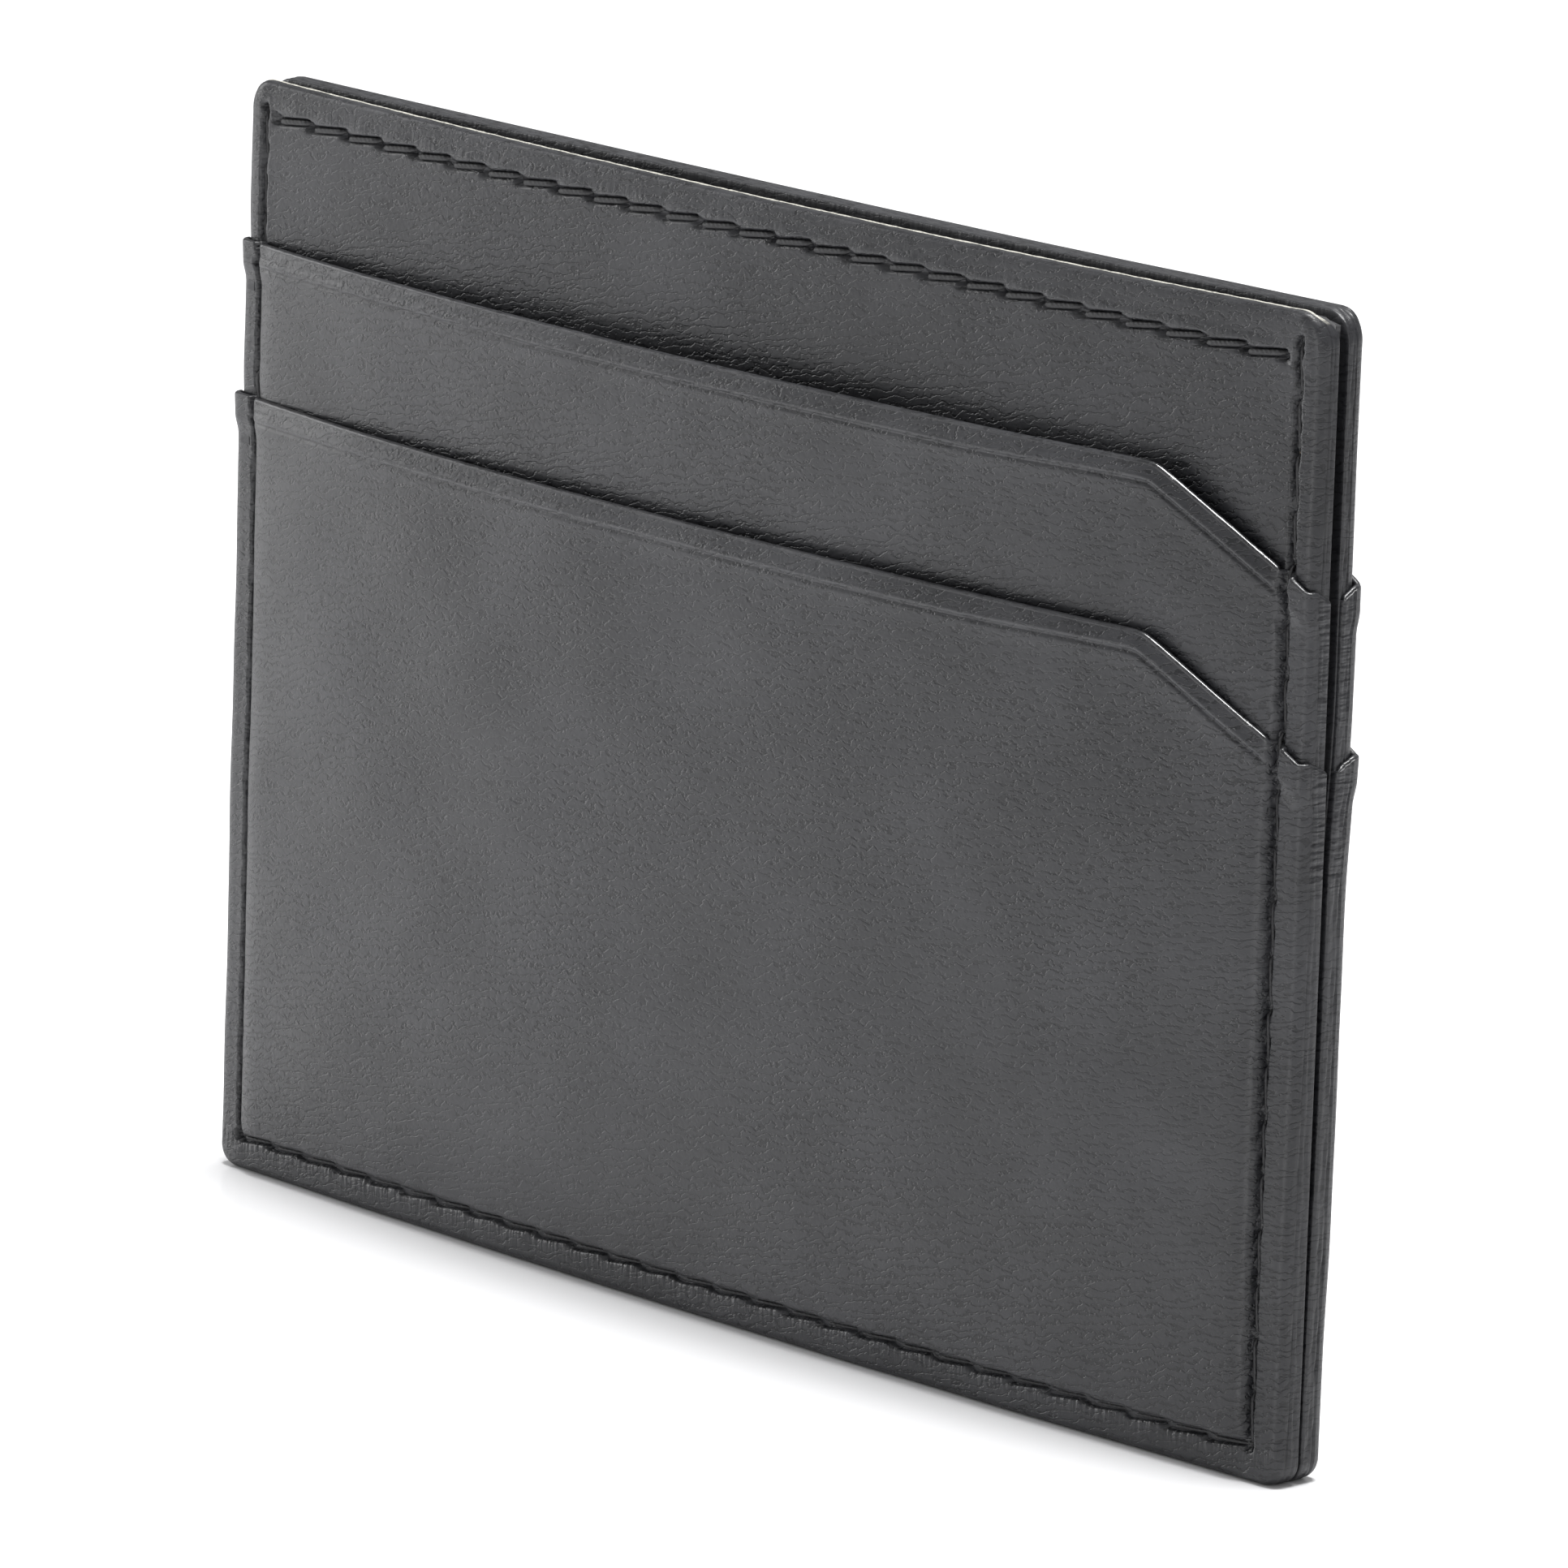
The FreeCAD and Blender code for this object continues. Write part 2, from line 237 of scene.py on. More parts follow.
def upperDepth(x, z, side):
    inward = np.clip(seam["half"] - 0.15 - np.abs(x), 0, None)
    across = 1 - np.clip(np.abs(x) / seam["half"], 0, 1) ** upper["roundness"]
    flare = 0.42 + 0.58 * smooth((z - 46) / 19)
    rise = upper["shoulder"] * (1 - np.exp(-inward / upper["steep"]))
    depth = upper["edge"] + rise + upper["crown"] * across * flare
    hidden = 1 - smooth((z - 36) / 5)
    depth = depth * (1 - hidden) + (panelSize["out"] + 0.27) * hidden
    return depth + seamDents(x, z, "upper", side) + mouthShape(upperSize, x, z) \
        + softWaves(x, z, 11, amount=0.06)


def lowerBase(x, z):
    inward = np.clip(seam["half"] - 0.15 - np.abs(x), 0, None)
    above = np.clip(z - seam["low"] - 0.15, 0, None)
    across = 1 - np.clip(np.abs(x) / seam["half"], 0, 1) ** lower["roundness"]
    flare = 0.62 + 0.38 * smooth((z - 22) / 34)
    upwards = 1 - np.exp(-above / 7.5)
    rise = (1 - np.exp(-inward / lower["steep"])) * (1 - np.exp(-above / lower["steep"]))
    return lower["edge"] + lower["shoulder"] * rise + lower["crown"] * across * flare * upwards


def lowerDepth(x, z, side):
    return lowerBase(x, z) + seamDents(x, z, "lower", side) + mouthShape(lowerSize, x, z) \
        + softWaves(x, z, 23, amount=0.08)


# ---- meshes from sheets of points

def makeObject(name, points, faces, thickness, half, marks=None):
    points = np.asarray(points, float)
    flip = half == "back"
    x, depth, z = points[:, 0], points[:, 1], points[:, 2]
    out = depth + halfBow(x, z, half)
    y = out if flip else -out
    z, x = z - topDip(x, z), x + leftFlare(x, z)
    mesh = bpy.data.meshes.new(name)
    faces = np.asarray(faces, int)
    if flip:
        faces = faces[:, ::-1]
    mesh.from_pydata((np.stack([x, y, z], 1) * mm).tolist(), [], faces.tolist())
    for markName, values in (marks or {}).items():
        layer = mesh.attributes.new(markName, "FLOAT", "POINT")
        layer.data.foreach_set("value", np.asarray(values, np.float32))
    mesh.polygons.foreach_set("use_smooth", [True] * len(mesh.polygons))
    piece = bpy.data.objects.new(name, mesh)
    bpy.context.scene.collection.objects.link(piece)
    if thickness:
        wall = piece.modifiers.new("leather thickness", "SOLIDIFY")
        wall.thickness = thickness * mm
        wall.offset = -1
        wall.use_quality_normals = True
        applyModifiers(piece)
    return piece


def applyModifiers(piece):
    graph = bpy.context.evaluated_depsgraph_get()
    plain = bpy.data.meshes.new_from_object(piece.evaluated_get(graph), preserve_all_data_layers=True,
                                            depsgraph=graph)
    piece.modifiers.clear()
    old = piece.data
    piece.data = plain
    plain.name = piece.name
    bpy.data.meshes.remove(old)


def gridLines(low, high, step, marks):
    places = np.linspace(low, high, 6001)
    size = np.full_like(places, step)
    for place, reach, near in marks:
        away = smooth((np.abs(places - place) - reach) / (reach * 1.2))
        size = np.minimum(size, near + (step - near) * away)
    total = np.concatenate([[0], np.cumsum((1 / size[1:] + 1 / size[:-1]) / 2 * np.diff(places))])
    count = int(math.ceil(total[-1]))
    return np.interp(np.linspace(0, total[-1], count + 1), total, places)


def edgeTurn(radius):
    return [radius * (1 - math.cos(math.radians(angle))) for angle in (0, 14, 28, 42, 56, 72)]


def roundedGrid(across, up, half, low, high, radius, roundTop):
    x, z = np.meshgrid(across, up)
    p = np.clip((np.abs(x) - (half - radius)) / radius, 0, 1)
    qLow = np.clip((low + radius - z) / radius, 0, 1)
    qHigh = np.clip((z - (high - radius)) / radius, 0, 1) if roundTop else np.zeros_like(qLow)
    q = np.maximum(qLow, qHigh)
    px, qz = p * np.sqrt(1 - q * q / 2), q * np.sqrt(1 - p * p / 2)
    corner = (p > 0) & (q > 0)
    side, level = np.sign(x), np.where(qHigh > 0, 1.0, -1.0)
    centre = np.where(qHigh > 0, high - radius, low + radius)
    inset = np.minimum(half - np.abs(x), z - low)
    if roundTop:
        inset = np.minimum(inset, high - z)
    inset = np.where(corner, radius * (1 - np.hypot(px, qz)), inset)
    onSide = (half - np.abs(x)) < 1e-6
    normalX = np.where(corner, side * px, np.where(onSide, side, 0.0))
    normalZ = np.where(corner, level * qz, np.where(onSide, 0.0, np.where(qHigh > 0, 1.0, -1.0)))
    newX = np.where(corner, side * (half - radius + radius * px), x)
    newZ = np.where(corner, centre + level * radius * qz, z)
    length = np.maximum(np.hypot(normalX, normalZ), 1e-9)
    return newX, newZ, inset, normalX / length, normalZ / length


# ring profile round a turned edge: how far it stands out of the outline, and how far down it is, 0 to 1
turnProfile = [(0.035, 0.08), (-0.06, 0.16), (0.02, 0.25), (0.045, 0.38), (-0.01, 0.48),
               (0.035, 0.57), (0.045, 0.7), (0.05, 0.82), (0.035, 0.9), (-0.05, 0.955),
               (-0.2, 0.99), (-0.45, 1.0), (-0.9, 1.01), (-2.4, 1.01)]


def turnedSheet(name, half, size, across, up, radius, depthOf, kind, shape, thickness):
    side = 1 if half == "front" else -1
    closed = shape["mouth"] is None
    x, z, inset, normalX, normalZ = roundedGrid(across, up, size["half"], size["low"], shape["top"],
                                                radius, closed)
    rows, columns = x.shape
    if not closed:                                  # the top rows follow the mouth line
        share = np.clip((z - shape["shearFrom"]) / (shape["top"] - shape["shearFrom"]), 0, 1)
        z = z + (mouthLine(size, x) - shape["top"]) * share
    turn = shape["turnRadius"](x, z)
    edge = np.clip(turn - inset, 0, None)
    drop = turn - np.sqrt(np.maximum(turn ** 2 - edge ** 2, 0))
    depth = depthOf(x, z, side) - drop
    upright, crosswise = pleatMarks(x, z, kind)
    index = np.arange(rows * columns).reshape(rows, columns)
    points = [np.stack([x, depth, z], -1).reshape(-1, 3)]
    turned = [np.clip(drop / turn, 0, 1).reshape(-1)]
    uprights, crosswises = [upright.reshape(-1)], [crosswise.reshape(-1)]
    raw, polished = [np.zeros(rows * columns)], [np.zeros(rows * columns)]
    a, b = index[:-1, :-1], index[:-1, 1:]
    c, d = index[1:, 1:], index[1:, :-1]
    faces = [np.stack([a, b, c, d], -1).reshape(-1, 4)]

    def keep(ring, *values):
        points.append(ring)
        for store, value in zip((turned, uprights, crosswises, raw, polished), values):
            store.append(value + np.zeros(len(ring)))

    down = [(row, 0) for row in range(rows - 1, 0, -1)]
    bottom = [(0, column) for column in range(columns - 1)]
    right = [(row, columns - 1) for row in range(rows)]
    path = down + bottom + right
    if closed:
        path = path + [(rows - 1, column) for column in range(columns - 2, 0, -1)]
    rowOf, columnOf = np.array([p[0] for p in path]), np.array([p[1] for p in path])
    edgeX, edgeZ, edgeDepth = x[rowOf, columnOf], z[rowOf, columnOf], depth[rowOf, columnOf]
    outX, outZ = normalX[rowOf, columnOf], normalZ[rowOf, columnOf]
    steps = np.hypot(np.diff(edgeX, append=edgeX[:1]), np.diff(edgeZ, append=edgeZ[:1]))
    length = np.cumsum(steps)
    last = index[rowOf, columnOf]
    ends = [(last[0], last[-1])]
    lowest = shape["turnEnd"](edgeX, edgeZ)
    start = rows * columns
    nearMouth = np.clip((edgeZ - shape["shearFrom"]) / 8, 0, 1) if not closed else 0.0 * edgeZ
    for number, (standsOut, share) in enumerate(turnProfile):
        wander = 0.02 * np.sin(length * 1.1 + number * 1.7) + 0.015 * np.sin(length * 2.9 + number)
        wander = wander * (1 if share < 0.9 else 0)
        ringDepth = edgeDepth + (lowest - edgeDepth) * share
        reach = standsOut + wander - shape["sunk"] * (1 - smooth((edgeZ - 36) / 5))
        if closed:
            reach = shape["reach"](edgeX, edgeZ, share, standsOut, length) + wander
        sag = shape["wrapSag"] * min(share, 1) * nearMouth if not closed else 0.0
        ring = np.stack([edgeX + outX * reach, ringDepth, edgeZ + outZ * reach - sag], -1)
        rawBy = shape["raw"](edgeX, edgeZ) * (1 if 0.45 < share < 0.995 else 0) if closed else 0.0
        crumple = 0.06 + 1.3 * smooth((nearMouth - 0.35) / 0.4)
        keep(ring, 1.0, np.abs(outZ) * 0.4, np.abs(outX) * crumple, rawBy, 0.0)
        ids = np.arange(start, start + len(ring))
        start += len(ring)
        if closed:
            lastNext, idsNext = np.roll(last, -1), np.roll(ids, -1)
            faces.append(np.stack([last, ids, idsNext, lastNext], -1))
        else:
            faces.append(np.stack([last[:-1], ids[:-1], ids[1:], last[1:]], -1))
        last = ids
        ends.append((ids[0], ids[-1]))

    if not closed:                                  # turn the mouth over and in behind itself
        everything = np.concatenate(points)
        top = np.concatenate([[e[0] for e in ends[:0:-1]], index[-1], [e[1] for e in ends[1:]]]).astype(int)
        here = everything[top]
        along = np.gradient(here, axis=0)
        along /= np.linalg.norm(along, axis=1)[:, None]
        for blend in range(2):
            along[1:-1] = (along[:-2] + along[1:-1] * 2 + along[2:]) / 4
        along /= np.linalg.norm(along, axis=1)[:, None]
        upward = np.array([0.0, 0.0, 1.0]) - along[:, 2:3] * along
        upward /= np.linalg.norm(upward, axis=1)[:, None]
        outward = np.cross(upward, along)
        onWrap = smooth((np.abs(here[:, 0]) - (seam["half"] - 0.6)) / 1.0)
        tucked = smooth((0.62 - here[:, 1]) / 0.3)
        fold = shape["fold"] * (1 - onWrap) + shape["foldOnWrap"] * onWrap
        fold = (fold * (1 - tucked) + 0.13 * tucked)[:, None]
        last = top
        turns = [(math.sin(t), 1 - math.cos(t)) for t in np.radians([20, 40, 60, 80, 100, 125, 150, 180])]
        rowsIn = [(up_, in_, 0.0) for up_, in_ in turns] + [(0.0, 2.0, s) for s in (0.6, 1.6, 3.2)]
        for up_, in_, dropBy in rowsIn:
            ring = here + upward * fold * up_ - outward * fold * in_ - np.array([0.0, 0.0, dropBy])
            onCut = 0.15 + 0.85 * smooth((here[:, 0] - holder["cutStart"] + 1.2) / 1.6)
            keep(ring, 1.0, 0.0, 0.0, 0.0, onCut * (1.0 - 0.65 * onWrap) * (0.3 < up_ and in_ < 1))
            ids = np.arange(start, start + len(ring))
            start += len(ring)
            faces.append(np.stack([last[:-1], last[1:], ids[1:], ids[:-1]], -1))
            last = ids
    return makeObject(name, np.concatenate(points), np.concatenate(faces), thickness, half,
                      {"turned": np.concatenate(turned), "uprightPleats": np.concatenate(uprights),
                       "crossPleats": np.concatenate(crosswises), "rawEdge": np.concatenate(raw),
                       "polished": np.concatenate(polished)})


# ---- outer leather of each half

panelLook = {"step": 0.38, "hiddenStep": 3.0, "sideRadius": 0.8, "topRadius": 0.4,
             "rawEdgeDepth": 1.0, "thickness": 0.3}


def buildPanel(half):
    size, look = panelSize, panelLook
    radius = look["sideRadius"]
    turn = edgeTurn(radius)
    topTurn = edgeTurn(look["topRadius"])
    inner = size["half"] - radius
    middle = gridLines(-inner, inner, look["step"], [(-seam["half"], 0.6, 0.11), (seam["half"], 0.6, 0.11)])
    across = np.concatenate([-(size["half"] - np.array(turn)), middle, (size["half"] - np.array(turn))[::-1]])
    visible = 52.0
    low = size["low"] + radius
    high = size["high"] - look["topRadius"]
    upHidden = gridLines(low, visible, look["hiddenStep"], [(visible, 2.0, 0.55)])
    upSeen = gridLines(visible, high, 0.55, [(seam["hemHeight"] - 0.2, 0.9, 0.1)])
    up = np.concatenate([size["low"] + np.array(turn), upHidden, upSeen[1:],
                         (size["high"] - np.array(topTurn))[::-1]])

    def topness(x, z):
        fromTop, fromSide = size["high"] - z, size["half"] - np.abs(x)
        return smooth((fromSide - fromTop) / 2.5 + 0.5) * smooth((z - size["high"] + 6) / 3)

    def reach(x, z, share, standsOut, length):
        top = topness(x, z)
        if half == "front":                         # the front half ends in a bare cut edge
            fall = {0.955: 0.03, 0.99: -0.12, 1.0: -0.5, 1.01: -1.4}.get(share, 0.02 * (share > 0.6))
            if standsOut < -1:
                fall = -2.6
            flat, pleats = fall, 0.012 * np.sin(length * 4.1 + 2 * np.sin(length * 1.3)) * (share > 0.6)
        else:
            flat = -0.1 * share ** 2 if standsOut > -0.1 else standsOut
            pleats = 0.03 * np.sin(length * 5.3 + 1.3 * np.sin(length * 0.9))
            pleats = pleats * math.sin(math.pi * min(share, 1))
        return standsOut * (1 - top) + (flat + pleats) * top

    shape = {
        "top": size["high"], "mouth": None, "shearFrom": 0, "sunk": 0.0, "reach": reach,
        "raw": lambda x, z: topness(x, z) * (half == "front"),
        "turnRadius": lambda x, z: radius + (look["topRadius"] - radius) * topness(x, z),
        "turnEnd": lambda x, z: (look["rawEdgeDepth"] if half == "front" else 0.15) * topness(x, z)
        + 0.1 * (1 - topness(x, z)),
    }
    return turnedSheet(half + "Panel", half, size, across, up, holder["cornerRadius"], panelDepth, "panel",
                       shape, look["thickness"])


# ---- card pockets

pocketLook = {"step": 0.48, "rowStep": 0.55, "edgeRadius": 0.8, "fold": 0.25, "foldOnWrap": 0.22,
              "wrapEnd": 0.2, "thickness": 0.17, "wrapSag": 0.7, "seenFrom": 42.5,
              "sunk": {"upper": 0.2, "lower": 0.0}, "shearFrom": {"upper": 44.0, "lower": 34.0}}


def mouthRows(top):
    return [(top - 0.7, 1.1, 0.12), (top - 1.3, 0.5, 0.08)]


def buildPocket(half, layer):
    look = pocketLook
    size = lowerSize if layer == "lower" else upperSize
    radius = look["edgeRadius"]
    turn = np.array(edgeTurn(radius))
    inner = size["half"] - radius
    marks = [(-seam["half"], 0.7, 0.11), (seam["half"], 0.7, 0.11), (holder["cutStart"], 0.5, 0.2)]
    across = np.concatenate([-(size["half"] - turn), gridLines(-inner, inner, look["step"], marks),
                             (size["half"] - turn)[::-1]])
    low, high = size["low"] + radius, size["high"]
    if layer == "lower":
        foot = size["low"] + turn
        seen = gridLines(low, high, look["rowStep"], mouthRows(high) + [(seam["low"], 0.7, 0.09)])
    else:                                           # the rows behind the lower pocket can be coarse
        foot = np.array([size["low"], 1.5, 3.5, 7.0, 12.0, 18.0, 25.0, 32.0, 38.0, 41.0])
        seen = gridLines(look["seenFrom"], high, look["rowStep"], mouthRows(high))
    shape = {"top": high, "mouth": high, "sunk": look["sunk"][layer], "shearFrom": look["shearFrom"][layer],
             "wrapSag": look["wrapSag"], "fold": look["fold"], "foldOnWrap": look["foldOnWrap"],
             "turnRadius": lambda x, z: radius + 0 * x, "turnEnd": lambda x, z: look["wrapEnd"] + 0 * x}
    return turnedSheet(half + layer.capitalize() + "Pocket", half, size, across, np.concatenate([foot, seen]),
                       holder["pocketCorner"][layer], lowerDepth if layer == "lower" else upperDepth, layer,
                       shape, look["thickness"])


# ---- board, lining and pocket cloth: flat slabs that follow the leather

def buildSlab(name, half, limits, depthIn, depthOut, step=2.0, cutMouth=None):
    xLow, xHigh, zLow, zHigh = limits
    across = gridLines(xLow, xHigh, step, [])
    up = gridLines(0.0, 1.0, step / (zHigh - zLow), [])
    x, share = np.meshgrid(across, up)
    top = np.minimum(zHigh, mouthLine(cutMouth, x) - 1.0) if cutMouth else zHigh
    radius = holder["cornerRadius"]
    bend = np.clip(np.abs(x) - (panelSize["half"] - radius), 0, radius)
    corner = panelSize["high"] - radius + np.sqrt(radius ** 2 - bend ** 2) - 0.5
    top = np.minimum(top, corner)
    z = zLow + (top - zLow) * share
    layers = [np.stack([x, depthOut(x, z), z], -1), np.stack([x, depthIn(x, z), z], -1)]
    rows, columns = x.shape
    points = np.concatenate([layer.reshape(-1, 3) for layer in layers])
    outer = np.arange(rows * columns).reshape(rows, columns)
    inner = outer + rows * columns
    quads = lambda a: np.stack([a[:-1, :-1], a[:-1, 1:], a[1:, 1:], a[1:, :-1]], -1).reshape(-1, 4)
    faces = [quads(outer), quads(inner)[:, ::-1]]
    rim = list(outer[0, :]) + list(outer[1:, -1]) + list(outer[-1, -2::-1]) + list(outer[-2:0:-1, 0])
    rim = np.array(rim)
    nextRim = np.roll(rim, -1)
    faces.append(np.stack([nextRim, rim, rim + rows * columns, nextRim + rows * columns], -1))
    return makeObject(name, points, np.concatenate(faces), 0, half)


insideLook = {
    "halfWidth": 49.2,
    "liningLow": 0.9,
    "liningTop": {"front": 74.6, "back": 74.2},
    "liningIn": {"front": 0.06, "back": 0.5},
    "liningOut": 0.7,
    "boardLow": 1.1,
    "boardTop": 66.9,
    "boardIn": 0.72,
    "boardOut": 1.12,
    "clothHalfWidth": 46.5,
    "clothBelowMouth": 4.0,
    "meetFrom": 45.4,          # the two linings meet from here outwards, along the side seams
    "meetOver": 1.2,
    "meetOverlap": 0.03,
}


def buildInside(half):
    look = insideLook
    side = 1 if half == "front" else -1
    wide, clothWide = look["halfWidth"], look["clothHalfWidth"]

    def level(depth):
        return lambda x, z: depth + 0 * x

    def meeting(depth):
        def depthAt(x, z):
            share = smooth((np.abs(x) - look["meetFrom"]) / look["meetOver"])
            middle = -(halfBow(x, z, "front") + halfBow(x, z, "back")) / 2 - look["meetOverlap"]
            return depth * (1 - share) + middle * share
        return depthAt

    def behind(depthOf, gap):
        return lambda x, z: np.maximum(depthOf(x, z, side) - gap, 2.08 - gap)

    def clothMouth(size):
        return {**size, "high": size["high"] - look["clothBelowMouth"]}

    return {
        "lining": buildSlab(half + "Lining", half, (-wide, wide, look["liningLow"], look["liningTop"][half]),
                            meeting(look["liningIn"][half]), level(look["liningOut"]), 0.9),
        "stiffener": buildSlab(half + "Stiffener", half, (-wide, wide, look["boardLow"], look["boardTop"]),
                               level(look["boardIn"]), level(look["boardOut"])),
        "upper_pocket_lining": buildSlab(half + "UpperPocketCloth", half, (-clothWide, clothWide, 13.0, 58.0),
                                         behind(upperDepth, 0.3), behind(upperDepth, 0.2),
                                         cutMouth=clothMouth(upperSize)),
        "lower_pocket_lining": buildSlab(half + "LowerPocketCloth", half, (-clothWide, clothWide, 4.5, 47.0),
                                         behind(lowerDepth, 0.34), behind(lowerDepth, 0.2),
                                         cutMouth=clothMouth(lowerSize)),
    }


# ---- thread

thread = {"radius": 0.21, "length": 3.2, "dip": 0.3, "slant": 7.0, "sides": 8, "rings": 12,
          "seamRadius": 0.14, "seamSlant": 4.0}


def stitchTree():
    tree = bpy.data.node_groups.new("sewnStitches", "GeometryNodeTree")
    face = tree.interface
    face.new_socket("Geometry", in_out="INPUT", socket_type="NodeSocketGeometry")
    for label, value in (("Thread Radius", thread["radius"] * mm), ("Stitch Length", thread["length"] * mm),
                         ("Dip", thread["dip"] * mm), ("Slant", math.radians(thread["slant"]))):
        socket = face.new_socket(label, in_out="INPUT", socket_type="NodeSocketFloat")
        socket.default_value = value
    face.new_socket("Thread", in_out="INPUT", socket_type="NodeSocketMaterial")
    face.new_socket("Geometry", in_out="OUTPUT", socket_type="NodeSocketGeometry")

    def add(kind, settings=None, sockets=None):
        node = tree.nodes.new(kind)
        for key, value in (settings or {}).items():
            setattr(node, key, value)
        for key, value in (sockets or {}).items():
            if isinstance(value, bpy.types.NodeSocket):
                tree.links.new(value, node.inputs[key])
            else:
                node.inputs[key].default_value = value
        return node

    given = add("NodeGroupInput")
    half = add("ShaderNodeMath", {"operation": "MULTIPLY"}, {0: given.outputs["Stitch Length"], 1: 0.5})
    minus = add("ShaderNodeMath", {"operation": "MULTIPLY"}, {0: half.outputs[0], 1: -1.0})
    start = add("ShaderNodeCombineXYZ", None, {"X": minus.outputs[0]})
    end = add("ShaderNodeCombineXYZ", None, {"X": half.outputs[0]})
    line = add("GeometryNodeCurvePrimitiveLine", None, {"Start": start.outputs[0], "End": end.outputs[0]})
    bent = add("GeometryNodeResampleCurve", None, {"Curve": line.outputs[0], "Count": thread["rings"]})
    place = add("GeometryNodeInputPosition")
    split = add("ShaderNodeSeparateXYZ", None, {0: place.outputs[0]})
    share = add("ShaderNodeMath", {"operation": "DIVIDE"}, {0: split.outputs["X"], 1: half.outputs[0]})
    away = add("ShaderNodeMath", {"operation": "ABSOLUTE"}, {0: share.outputs[0]})
    curveIn = add("ShaderNodeMath", {"operation": "POWER"}, {0: away.outputs[0], 1: 9.0})
    sink = add("ShaderNodeMath", {"operation": "MULTIPLY"}, {0: curveIn.outputs[0], 1: given.outputs["Dip"]})
    sinkDown = add("ShaderNodeMath", {"operation": "MULTIPLY"}, {0: sink.outputs[0], 1: -1.0})
    offset = add("ShaderNodeCombineXYZ", None, {"Z": sinkDown.outputs[0]})
    dipped = add("GeometryNodeSetPosition", None, {"Geometry": bent.outputs[0], "Offset": offset.outputs[0]})
    profile = add("GeometryNodeCurvePrimitiveCircle", None,
                  {"Resolution": thread["sides"], "Radius": given.outputs["Thread Radius"]})
    taper = add("ShaderNodeMath", {"operation": "MULTIPLY_ADD"}, {0: curveIn.outputs[0], 1: -0.35, 2: 1.0})
    tube = add("GeometryNodeCurveToMesh", None,
               {"Curve": dipped.outputs[0], "Profile Curve": profile.outputs[0],
                "Scale": taper.outputs[0], "Fill Caps": True})
    soft = add("GeometryNodeSetShadeSmooth", None, {"Geometry": tube.outputs[0]})
    along = add("GeometryNodeInputNamedAttribute", {"data_type": "FLOAT_VECTOR"}, {"Name": "along"})
    outward = add("GeometryNodeInputNamedAttribute", {"data_type": "FLOAT_VECTOR"}, {"Name": "outward"})
    aim = add("FunctionNodeAxesToRotation", {"primary_axis": "Z", "secondary_axis": "X"},
              {"Primary Axis": outward.outputs["Attribute"], "Secondary Axis": along.outputs["Attribute"]})
    lean = add("FunctionNodeAxisAngleToRotation", None,
               {"Axis": (0.0, 0.0, 1.0), "Angle": given.outputs["Slant"]})
    turned = add("FunctionNodeRotateRotation", {"rotation_space": "LOCAL"},
                 {"Rotation": aim.outputs[0], "Rotate By": lean.outputs[0]})
    dots = add("GeometryNodeMeshToPoints", None, {"Mesh": given.outputs["Geometry"]})
    stitches = add("GeometryNodeInstanceOnPoints", None,
                   {"Points": dots.outputs[0], "Instance": soft.outputs[0], "Rotation": turned.outputs[0]})
    real = add("GeometryNodeRealizeInstances", None, {"Geometry": stitches.outputs[0]})
    coloured = add("GeometryNodeSetMaterial", None,
                   {"Geometry": real.outputs[0], "Material": given.outputs["Thread"]})
    result = add("NodeGroupOutput")
    tree.links.new(coloured.outputs[0], result.inputs[0])
    return tree


def sew(name, places, threadFinish, tree, slant=None, radius=None):
    mesh = bpy.data.meshes.new(name)
    mesh.from_pydata([tuple(place["at"]) for place in places], [], [])
    for key in ("along", "outward"):
        layer = mesh.attributes.new(key, "FLOAT_VECTOR", "POINT")
        layer.data.foreach_set("vector", np.array([place[key] for place in places], np.float32).reshape(-1))
    piece = bpy.data.objects.new(name, mesh)
    bpy.context.scene.collection.objects.link(piece)
    rows = piece.modifiers.new("stitches", "NODES")
    rows.node_group = tree
    names = {item.name: item.identifier for item in tree.interface.items_tree if item.in_out == "INPUT"}
    rows[names["Thread"]] = threadFinish
    if slant is not None:
        rows[names["Slant"]] = math.radians(slant)
    if radius is not None:
        rows[names["Thread Radius"]] = radius * mm
    applyModifiers(piece)
    return piece


def onSurface(x, z, depthOf, half, lift, upright, inside=False):
    eps = 0.6

    def point(px, pz):
        depth = depthOf(np.array(px), np.array(pz)) + halfBow(np.array(px), np.array(pz), half)
        spread = float(leftFlare(np.array(px), np.array(pz)))
        return np.array([px + spread, -float(depth) if half == "front" else float(depth),
                         pz - float(topDip(px, pz))])

    here = point(x, z)
    alongX = point(x + eps, z) - point(x - eps, z)
    alongZ = point(x, z + eps) - point(x, z - eps)
    outward = np.cross(alongX, alongZ)
    outward /= np.linalg.norm(outward)
    facing = -1 if (half == "front") != inside else 1
    if outward[1] * facing < 0:
        outward = -outward
    along = alongZ if upright else alongX
    along = along / np.linalg.norm(along)
    return {"at": (here + outward * lift) * mm, "along": along, "outward": outward}


def smoothDepth(kind, x):
    base = {"hem": panelSize["out"], "panel": panelSize["out"], "upper": upper["edge"],
            "lower": lower["edge"]}[kind]
    return base - (seam["bed"] if kind == "hem" else 0.46) + 0 * x


